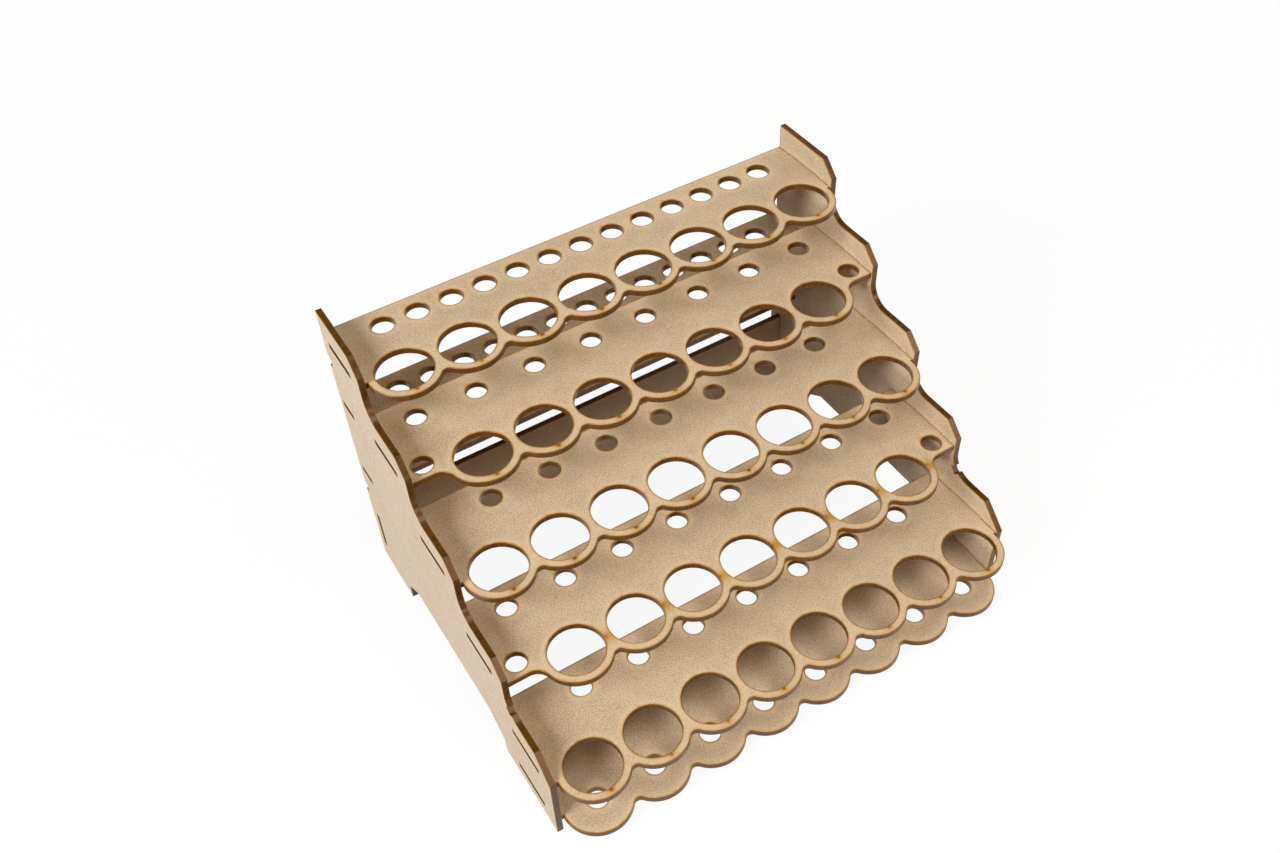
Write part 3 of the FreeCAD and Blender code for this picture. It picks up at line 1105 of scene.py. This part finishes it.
@dataclass
class BoardPaint:
    """Makes the materials of the faces and of the burnt walls from the shared groups.

    Attributes:
        thickness: Thickness of the board, in millimetres.
        fibre: Group of the board's grain.
        scorch: Group of the burn beside a cut.
        burn: Group of the burnt wall.
        made: Name to each material that is made.
    """

    thickness: float
    fibre: bpy.types.NodeTree = field(default_factory=PressedFibre().group)
    scorch: bpy.types.NodeTree = field(default_factory=RimScorch().group)
    burn: bpy.types.NodeTree = field(default_factory=WallBurn().group)
    made: dict[str, bpy.types.Material] = field(default_factory=dict)

    def start(self, name: str) -> tuple[NodeTree, Socket]:
        """Start a material.

        Args:
            name: Its name.

        Returns:
            Its tree, and places in millimetres.
        """
        self.made[name] = bpy.data.materials.new(name)
        self.made[name].use_nodes = True
        tree = NodeTree(self.made[name].node_tree)
        where = tree.add("ShaderNodeTexCoord").outputs["Object"]
        return tree, tree.stretch(where, (1 / MM,) * 3)

    def close(self, tree: NodeTree, finish: Finish, colour: Socket, height: Socket, rough: Socket) -> None:
        """End a material with its relief and its shader.

        Args:
            tree: Its tree.
            finish: Its finish.
            colour: Its colour.
            height: What its relief follows.
            rough: Its roughness.
        """
        bump = tree.add("ShaderNodeBump", {
            "Height": height, "Strength": finish.bump, "Distance": finish.relief})
        shader = tree.add("ShaderNodeBsdfPrincipled", {
            "Base Color": colour, "Normal": bump.outputs["Normal"], "Roughness": rough,
            "Specular IOR Level": finish.gloss, "Specular Tint": (*finish.shine, 1.0)})
        tree.add("ShaderNodeOutputMaterial", {"Surface": shader.outputs[0]})

    def face(self, finish: BoardFinish) -> None:
        """Make the material of a face: fibre, then a painted highlight beside the cuts, specks, amber and a
        burnt line at the cuts.

        Args:
            finish: Its finish.
        """
        tree, place = self.start(finish.name)
        fibre = tree.add("ShaderNodeGroup", {"Place": place}, node_tree=self.fibre)
        given = {name.title(): tree.attribute(name) for name in ("rim", "smoke", "char")}
        scorch = tree.add("ShaderNodeGroup", {"Place": place, "Halo": finish.halo, **given},
                          node_tree=self.scorch)
        board = tree.blend(fibre.outputs["Tone"], (*finish.fibre, 1.0), (*finish.board, 1.0))
        board = tree.blend(finish.calm, board, (*finish.board, 1.0))
        # painted highlight: a paler band laid beside every cut
        board = tree.lay(board, scorch.outputs["Veil"], finish.painted_highlight, finish.painted_highlight_colour)
        board = tree.lay(board, fibre.outputs["Speck"], finish.specks, finish.speck)
        board = tree.lay(board, scorch.outputs["Amber"], finish.stain, finish.amber)
        board = tree.lay(board, scorch.outputs["Line"], finish.burnt, finish.line)
        rough = tree.fade(fibre.outputs["Tone"], 0.0, 1.0, *finish.rough)
        self.close(tree, finish, board, fibre.outputs["Height"], rough)

    def wall(self, finish: CharFinish) -> None:
        """Make the material of the cut walls: tarry streaks on brown, with warmer arrises and dark stops.

        Args:
            finish: Its finish.
        """
        tree, place = self.start(finish.name)
        way = tree.add("ShaderNodeUVMap", uv_map="cut_path").outputs["UV"]
        turn = tree.add("ShaderNodeUVMap", uv_map="from_corner").outputs["UV"]
        burn = tree.add("ShaderNodeGroup", {"Way": way, "Turn": turn, "Place": place,
                                            "Thickness": self.thickness}, node_tree=self.burn)
        sooty_and_shaded = tree.attribute("char")
        char = tree.blend(burn.outputs["Tar"], (*finish.tar, 1.0), (*finish.brown, 1.0))
        char = tree.lay(char, burn.outputs["Run"], finish.lean, finish.rust)
        char = tree.lay(char, burn.outputs["Arris"], finish.glow, finish.ember)
        char = tree.lay(char, burn.outputs["Stop"], finish.stop, finish.tar)
        # painted shade: char darkens the walls, as burn beside the holes and as the shade of a slot on a
        # tab's end
        char = tree.lay(char, sooty_and_shaded, finish.soot_and_shade, finish.tar)
        rough = tree.calc("MAXIMUM", tree.fade(burn.outputs["Tar"], 0.0, 1.0, *finish.rough),
                          tree.fade(sooty_and_shaded, *finish.sooty_and_shaded, 0.0, 1.0))
        self.close(tree, finish, char, burn.outputs["Height"], rough)

    def dress(self, piece: bpy.types.Object, sheet: Sheet, walls: CharFinish) -> None:
        """Give a piece its materials, in the order of a sheet's slots: upper face, lower face, walls.

        Args:
            piece: The piece.
            sheet: The sheet that it was made from.
            walls: Finish of its cut walls.
        """
        for finish, make in ((sheet.upper, self.face), (sheet.lower, self.face), (walls, self.wall)):
            if finish.name not in self.made:
                make(finish)
            piece.data.materials.append(self.made[finish.name])


@dataclass
class RingShelves:
    """The base shelf and the ring shelves above it.

    Attributes:
        sizes: Sizes of the rack.
        stains: Stains of the beam.
    """

    sizes: RackSizes
    stains: BeamStains = field(default_factory=BeamStains)

    def side_tabs(self, low: float, high: float) -> tuple[list[Corner], list[Corner]]:
        """One tab on each side.

        Args:
            low: Where it begins, up the sheet.
            high: Where it ends.

        Returns:
            Corners of the right tab going up, and of the left one coming down.
        """
        near, far = self.sizes.half_inside, self.sizes.half_outside
        right = [(near, low), (far, low), (far, high), (near, high)]
        return right, [(-across, up) for across, up in reversed(right)]

    def front(self, rings: int) -> list[Corner]:
        """Front edge from left to right: arcs around the rings, joined by hollow valleys.

        The arcs of radius rim and valley_radius meet where the line between their centres crosses them.

        Args:
            rings: Number of rings.

        Returns:
            Its corners, each with a radius where an arc leaves it.
        """
        s = self.sizes
        half = (rings - 1) * s.ring_pitch / 2
        reach = s.rim + s.valley_radius
        turn = s.rim * s.ring_pitch / 2 / reach
        dip = s.rim * math.sqrt(reach ** 2 - (s.ring_pitch / 2) ** 2) / reach
        short = rings < s.long_row
        end_reach = s.rim + s.end_radius
        spread = math.sqrt(end_reach ** 2 - (s.end_radius - s.front_setback) ** 2)
        lean = s.rim * spread / end_reach
        fall = (s.front_setback - s.end_radius) * s.rim / end_reach
        edge = math.sqrt(s.rim ** 2 - s.front_setback ** 2)
        corners: list[Corner] = [(-s.half_inside, s.front_setback)]
        if short:
            corners += [(-half - spread, s.front_setback, -s.end_radius), (-half - lean, fall, s.rim)]
        else:
            corners += [(-half - edge, s.front_setback, s.rim)]
        for ring in range(rings - 1):
            centre = ring * s.ring_pitch - half
            corners += [(centre + turn, -dip, -s.valley_radius), (centre + s.ring_pitch - turn, -dip, s.rim)]
        if short:
            corners += [(half + lean, fall, -s.end_radius), (half + spread, s.front_setback)]
        else:
            corners += [(half + edge, s.front_setback)]
        return corners + [(s.half_inside, s.front_setback)]

    def centres(self, rings: int) -> list[float]:
        """Places of the rings across a shelf."""
        return [(ring - (rings - 1) / 2) * self.sizes.ring_pitch for ring in range(rings)]

    def brush_line(self, up: float) -> list[Spot]:
        """Places of the brush holes, evenly spaced between the margins.

        Args:
            up: Their place up the sheet.

        Returns:
            Across and up of each hole.
        """
        s = self.sizes
        step = (s.half_inside - s.brush_margin) * 2 / (s.brush_count - 1)
        return [(s.brush_margin - s.half_inside + hole * step, up) for hole in range(s.brush_count)]

    def drill(self, sheet: Sheet, places: list[Spot], diameter: float, chance: np.random.Generator) -> None:
        """Cut small holes of one diameter into a sheet, each with its smoke."""
        for across, up in places:
            sheet.cut(bore(across, up, diameter, Bore.HOLE), self.stains.hole(across, up, diameter, chance))

    def shelf(self, row: int, chance: np.random.Generator) -> Sheet:
        """One shelf with its holes and the stains around them.

        Args:
            row: Its row; 0 is the base shelf.
            chance: Source of its uneven stains.

        Returns:
            The sheet.
        """
        s = self.sizes
        rings, last = s.rings(row), row == s.row_count
        depth = s.base_depth if row == 0 else s.rear_margin if last else s.row_advance + s.tuck_depth
        low, high = s.tab_setback, s.tab_setback + s.tab_length
        right, left = self.side_tabs(low, high)
        corners = self.front(rings) + right + [(s.half_inside, depth), (-s.half_inside, depth)] + left
        node = f"ring_shelf_{row}" if row else "base_shelf"
        origin = (0.0, s.line(row) - s.middle, s.top(row) - s.sheet)
        sheet = Sheet(f"{node}_board", node, Lie.LEVEL, origin, s.sheet, [outline(corners)], DECK, UNDER_WARM_BOUNCE,
                      self.stains.tabs(s.half_outside, low, high))
        for across in self.centres(rings) if row else []:
            sheet.cut(bore(across, 0.0, s.ring_bore, Bore.RING), self.stains.ring(s, row, across, chance))
        if last:
            self.drill(sheet, self.brush_line(s.rear_margin - s.brush_inset), s.brush_bore, chance)
        else:
            up = s.row_advance if row else 0.0
            tips = [(across, up) for across in self.centres(s.rings(row + 1))]
            self.drill(sheet, tips, s.tip_bore, chance)
        if rings < s.long_row:
            inset = s.half_inside - s.corner_inset
            ends = [(-inset, s.corner_setback), (inset, s.corner_setback)]
            self.drill(sheet, ends, s.tip_bore, chance)
        return sheet


@dataclass
class BrushRails:
    """The two narrow rails across the back.

    Attributes:
        sizes: Sizes of the rack.
        shelves: Shelves whose tabs and holes they share.
    """

    sizes: RackSizes
    shelves: RingShelves

    def rail(self, name: str, top: float, bored: bool, chance: np.random.Generator) -> Sheet:
        """One rail.

        Args:
            name: Node that it stands for.
            top: Height of its upper face.
            bored: Whether it has the brush holes.
            chance: Source of its uneven stains.

        Returns:
            The sheet.
        """
        s = self.sizes
        low, high = (s.rail_depth - s.rail_tab) / 2, (s.rail_depth + s.rail_tab) / 2
        right, left = self.shelves.side_tabs(low, high)
        corners = [(-s.half_inside, 0.0), (s.half_inside, 0.0)] + right
        corners += [(s.half_inside, s.rail_depth), (-s.half_inside, s.rail_depth)] + left
        origin = (0.0, s.rear - s.rail_depth - s.middle, top - s.sheet)
        sheet = Sheet(f"{name}_board", name, Lie.LEVEL, origin, s.sheet, [outline(corners)], DECK, UNDER_WARM_BOUNCE,
                      self.shelves.stains.tabs(s.half_outside, low, high))
        if bored:
            holes = self.shelves.brush_line(s.rail_depth - s.brush_inset)
            self.shelves.drill(sheet, holes, s.brush_bore, chance)
        return sheet


@dataclass
class SideFrames:
    """The two stepped side panels and the brace between their rear feet.

    Attributes:
        sizes: Sizes of the rack.
        shelves: Shelves whose tabs the brace shares.
        key_row: Row whose hollow corner has a square notch.
    """

    sizes: RackSizes
    shelves: RingShelves
    key_row: int = 2

    def key(self, line: float, low: float) -> list[Corner]:
        """Square notch across the middle of a hollow corner, from its upper side to its lower.

        Args:
            line: Right side of the hollow corner.
            low: Its lower side.

        Returns:
            Corners of the notch; an arc leaves the last.
        """
        s = self.sizes
        across, up = line - s.cove_radius, low + s.cove_radius
        spread = math.sqrt(s.cove_radius ** 2 - (s.key_width / 2) ** 2)
        bottom = s.cove_radius + s.key_depth
        points = []
        for reach, side in ((spread, 1), (bottom, 1), (bottom, -1), (spread, -1)):
            points.append((across + (reach + side * s.key_width / 2) * DIAGONAL,
                           up - (reach - side * s.key_width / 2) * DIAGONAL))
        return points[:3] + [(*points[3], -s.cove_radius)]

    def profile(self) -> list[Corner]:
        """Panel's outline: feet and arch, rear edge with hanging notches, and the steps down the front.

        Returns:
            Its corners, each with a radius where an arc leaves it.
        """
        s = self.sizes
        heel = s.rear - s.rear_foot
        corners: list[Corner] = [
            (0.0, 0.0), (s.front_foot, 0.0), (s.front_foot, s.foot_step),
            (s.front_foot + s.foot_run, s.arch_height), (heel - s.foot_run, s.arch_height),
            (heel, s.foot_step), (heel, 0.0), (s.rear, 0.0)]
        for seat in (s.lower_hook, s.upper_hook):
            corners += [(s.rear, seat), (s.rear - s.hook_depth, seat),
                        (s.rear - s.hook_depth, seat + s.hook_height),
                        (s.rear, seat + s.hook_height + s.hook_slope)]
        corners.append((s.rear, s.top(s.row_count) + s.lip))
        for row in range(s.row_count, 0, -1):
            line, top = s.line(row), s.top(row)
            nose = s.front_nose if row == 1 else s.nose
            corners += [(line + s.lip - nose, top + s.lip), (line, top + nose)]
            if row > 1:
                low = top - s.row_rise + s.lip
                corners.append((line, low + s.cove_radius, -s.cove_radius))
                corners += self.key(line, low) if row == self.key_row else []
                corners.append((line - s.cove_radius, low))
        return corners

    def pocket(self, left: float, right: float, low: float, high: float) -> Loop:
        """Slot for a tab, with play all round."""
        play = self.sizes.slot_play
        return slot(left - play, right + play, low - play, high + play)

    def slots(self) -> list[Loop]:
        """Slots for the shelves, the rails and the brace.

        Returns:
            Their loops, in that order.
        """
        s = self.sizes
        holes = []
        for row in range(s.row_count + 1):
            near, top = s.line(row) + s.tab_setback, s.top(row)
            holes.append(self.pocket(near, near + s.tab_length, top - s.sheet, top))
        near = s.rear - (s.rail_depth + s.rail_tab) / 2
        for top in (s.upper_rail_top, s.lower_rail_top):
            holes.append(self.pocket(near, near + s.rail_tab, top - s.sheet, top))
        back, centre = s.rear - s.brace_inset, (s.brace_bottom + s.brace_top) / 2
        half = s.tab_length / 2
        return holes + [self.pocket(back - s.sheet, back, centre - half, centre + half)]

    def panel(self, side: str, upper: BoardFinish, lower: BoardFinish) -> Sheet:
        """One side panel.

        Args:
            side: left or right.
            upper: Finish of its face on the right.
            lower: Finish of its face on the left.

        Returns:
            The sheet.
        """
        s = self.sizes
        node = f"side_panel_{side}"
        face = s.half_inside if side == "right" else -s.half_outside
        loops = [outline(self.profile(), COVE_RUN)] + self.slots()
        return Sheet(f"{node}_board", node, Lie.SIDE, (face, -s.middle, 0.0), s.sheet, loops, upper, lower)

    def brace(self) -> Sheet:
        """Upright board between the rear feet.

        Returns:
            The sheet.
        """
        s = self.sizes
        centre = (s.brace_bottom + s.brace_top) / 2
        low, high = centre - s.tab_length / 2, centre + s.tab_length / 2
        right, left = self.shelves.side_tabs(low, high)
        corners = [(-s.half_inside, s.brace_bottom), (s.half_inside, s.brace_bottom)] + right
        corners += [(s.half_inside, s.brace_top), (-s.half_inside, s.brace_top)] + left
        origin = (0.0, s.rear - s.brace_inset - s.middle, 0.0)
        return Sheet("rear_brace_board", "rear_brace", Lie.UPRIGHT, origin, s.sheet, [outline(corners)],
                     PANEL, OUTER_PAINTED_SHEEN, self.shelves.stains.tabs(s.half_outside, low, high))


@dataclass(frozen=True)
class Lamp:
    """Rectangular lamp that faces the rack.

    Attributes:
        name: Its name.
        place: Where it hangs, in metres.
        size: Its width and height, in metres.
        power: Watts.
        tint: Its colour.
    """

    name: str
    place: Triple
    size: Pair
    power: float
    tint: Colour = (1.0, 1.0, 1.0)


WARM = (1.0, 0.84, 0.68)
LAMPS = (Lamp("top_lamp", (0.30, -0.75, 2.30), (1.4, 1.0), 19.0),
         Lamp("left_lamp", (-2.00, -0.45, 1.55), (1.2, 1.2), 71.0),
         Lamp("front_lamp", (0.60, -1.26, 0.92), (1.3, 0.3), 11.0, WARM),
         Lamp("rear_lamp", (1.70, 1.70, 0.40), (1.4, 0.6), 26.0, WARM))


@dataclass
class Studio:
    """Pale floor, soft lamps, even sky and the camera.

    Attributes:
        lens: Focal length, in millimetres.
        eye: Place of the camera, in millimetres.
        turn: Its turns about the three axes, in degrees.
        near: Least distance that it sees, in metres.
        aim: Where the lamps point, in metres.
        half_floor: Half the floor's width, in metres.
        pale: Shade of the floor to the camera.
        bounce: Colour of the floor to the rack, which it lights from below.
        sky: Strength of the sky to the rack.
        floor_shadow: Share of the rack's shadow that the floor keeps near it.
        shadow_fade: Distances at which that share begins to fade and at which the floor is white, in metres.
    """

    lens: float = 35.85
    eye: Triple = (-218.44, -340.55, 541.55)
    turn: Triple = (43.4643, 2.0871, -31.7529)
    near: float = 0.01
    aim: Triple = (0.0, 0.0, 0.08)
    half_floor: float = 8.0
    pale: float = 0.9
    bounce: Colour = (0.260, 0.185, 0.100)
    sky: float = 0.05
    floor_shadow: float = 0.08
    shadow_fade: Pair = (0.3, 1.2)

    def camera(self) -> None:
        """Camera that looks down on the rack from its front left."""
        data = bpy.data.cameras.new("studio_camera")
        data.lens = self.lens
        data.clip_start = self.near
        camera = bpy.data.objects.new("studio_camera", data)
        camera.location = [length * MM for length in self.eye]
        camera.rotation_euler = Euler([math.radians(angle) for angle in self.turn])
        bpy.context.scene.collection.objects.link(camera)
        bpy.context.scene.camera = camera

    def hang(self, lamp: Lamp) -> None:
        """Hang a lamp and point it at the rack.

        Args:
            lamp: The lamp.
        """
        data = bpy.data.lights.new(lamp.name, "AREA")
        data.shape, data.size, data.size_y, data.energy = "RECTANGLE", *lamp.size, lamp.power
        data.color = lamp.tint
        light = bpy.data.objects.new(lamp.name, data)
        light.location = lamp.place
        light.rotation_mode = "QUATERNION"
        light.rotation_quaternion = (Vector(self.aim) - Vector(lamp.place)).to_track_quat("-Z", "Y")
        bpy.context.scene.collection.objects.link(light)

    def white_to_camera(self, tree: NodeTree, lit: Socket, share: Socket) -> Socket:
        """Mix of a lit shader with plain white, seen so only by the camera and in gloss and glass.

        Args:
            tree: Tree of the material.
            lit: The lit shader.
            share: Share of the white.

        Returns:
            The mixed shader.
        """
        rays = tree.add("ShaderNodeLightPath")
        seen = tree.calc("MAXIMUM", rays.outputs["Is Camera Ray"], rays.outputs["Is Glossy Ray"])
        seen = tree.calc("MAXIMUM", seen, rays.outputs["Is Transmission Ray"])
        white = tree.add("ShaderNodeEmission", {"Color": (1.0, 1.0, 1.0, 1.0), "Strength": 1.0})
        mix = {0: tree.calc("MULTIPLY", seen, share), 1: lit, 2: white.outputs[0]}
        return tree.add("ShaderNodeMixShader", mix).outputs[0]

    def floor(self) -> None:
        """Wide pale floor that keeps part of the rack's shadow, and is plain white far away."""
        mesh = bpy.data.meshes.new("studio_floor")
        half = self.half_floor
        corners = [(-half, -half, 0), (half, -half, 0), (half, half, 0), (-half, half, 0)]
        mesh.from_pydata(corners, [], [(0, 1, 2, 3)])
        floor = bpy.data.objects.new("studio_floor", mesh)
        bpy.context.scene.collection.objects.link(floor)
        material = bpy.data.materials.new("studio_floor")
        material.use_nodes = True
        tree = NodeTree(material.node_tree)
        seen = tree.add("ShaderNodeLightPath").outputs["Is Camera Ray"]
        tone = tree.blend(seen, (*self.bounce, 1.0), (self.pale, self.pale, self.pale, 1.0))
        lit = tree.add("ShaderNodeBsdfDiffuse", {"Color": tone})
        where = tree.add("ShaderNodeTexCoord").outputs["Object"]
        away = tree.add("ShaderNodeVectorMath", {0: where}, operation="LENGTH").outputs["Value"]
        share = tree.fade(away, *self.shadow_fade, 1.0 - self.floor_shadow, 1.0)
        surface = self.white_to_camera(tree, lit.outputs[0], share)
        tree.add("ShaderNodeOutputMaterial", {"Surface": surface})
        mesh.materials.append(material)

    def world(self) -> None:
        """Even sky in the floor's colour, which the camera sees as white."""
        world = bpy.data.worlds.new("studio_sky")
        world.use_nodes = True
        bpy.context.scene.world = world
        tree = NodeTree(world.node_tree)
        rays = tree.add("ShaderNodeLightPath")
        glow = tuple(self.sky * share / max(self.bounce) for share in self.bounce)
        tone = tree.blend(rays.outputs["Is Camera Ray"], (*glow, 1.0), (1.0, 1.0, 1.0, 1.0))
        sky = tree.add("ShaderNodeBackground", {"Color": tone, "Strength": 1.0})
        tree.add("ShaderNodeOutputWorld", {"Surface": sky.outputs[0]})

    def build(self) -> None:
        """Set the whole studio up."""
        self.camera()
        self.floor()
        self.world()
        for lamp in LAMPS:
            self.hang(lamp)
        bpy.context.scene.view_settings.view_transform = "Standard"


def main() -> None:
    """Build the rack's sheets and the studio, and log the faces of each sheet."""
    logging.basicConfig(level=logging.INFO, format="%(name)s: %(message)s")
    sizes = RackSizes()
    chance = np.random.default_rng(SEED)
    paint = BoardPaint(sizes.sheet)
    shelves = RingShelves(sizes)
    rails = BrushRails(sizes, shelves)
    frames = SideFrames(sizes, shelves)
    sheets = [shelves.shelf(row, chance) for row in range(sizes.row_count + 1)]
    sheets += [rails.rail("brush_rail_upper", sizes.upper_rail_top, True, chance),
               rails.rail("brush_rail_lower", sizes.lower_rail_top, False, chance)]
    sheets += [frames.panel("left", PANEL, OUTER_PAINTED_SHEEN), frames.panel("right", OUTER_PAINTED_SHEEN, PANEL), frames.brace()]
    for sheet in sheets:
        piece = sheet.build()
        paint.dress(piece, sheet, CHAR)
        LOG.info("%s: %d faces", piece.name, len(piece.data.polygons))
    Studio().build()


if __name__ == "__main__":
    main()
